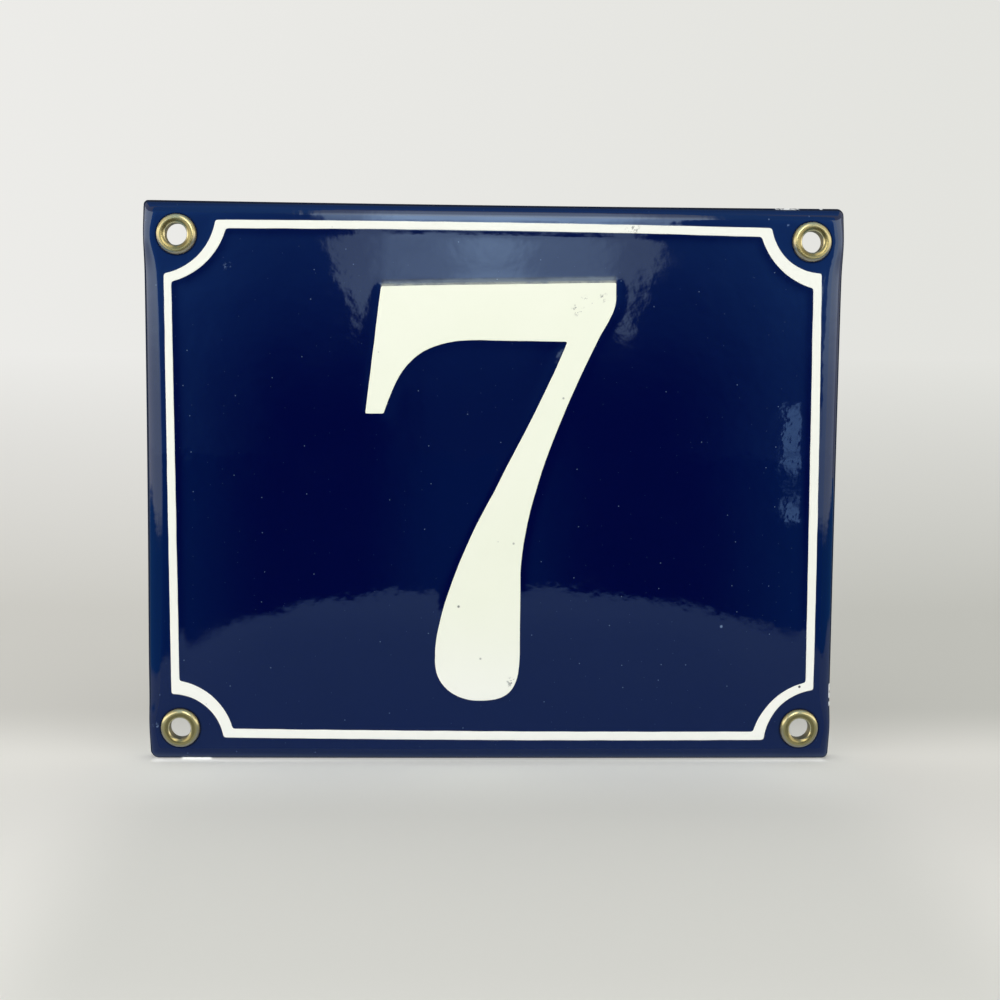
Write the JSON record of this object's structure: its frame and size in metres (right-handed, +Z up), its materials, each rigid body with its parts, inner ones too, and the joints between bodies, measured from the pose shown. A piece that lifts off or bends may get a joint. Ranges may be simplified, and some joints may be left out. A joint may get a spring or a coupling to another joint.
{
  "type": "enamel house number plaque",
  "caption": "Domed rectangular enamelled steel house number plaque with a raised white numeral, a scooped border line and brass eyelets for wall screws.",
  "frame": {"origin": "centre of the plane of the turned-back rim, which lies on the wall", "axes": "+X to the viewer's right along the long side, +Y into the wall, +Z up; the face looks towards -Y"},
  "size_m": [0.1496, 0.0087, 0.1204],
  "materials": {
    "blue_enamel": "glossy fired cobalt-blue vitreous enamel on steel",
    "white_enamel": "glossy raised ivory-white vitreous enamel",
    "brass": "stamped brass, lightly aged"
  },
  "bodies": {
    "root": {"plate": "blue_enamel", "white_border": "white_enamel", "white_numeral": "white_enamel", "eyelet_top_left": "brass", "eyelet_top_right": "brass", "eyelet_bottom_left": "brass", "eyelet_bottom_right": "brass"}
  },
  "joints": []
}
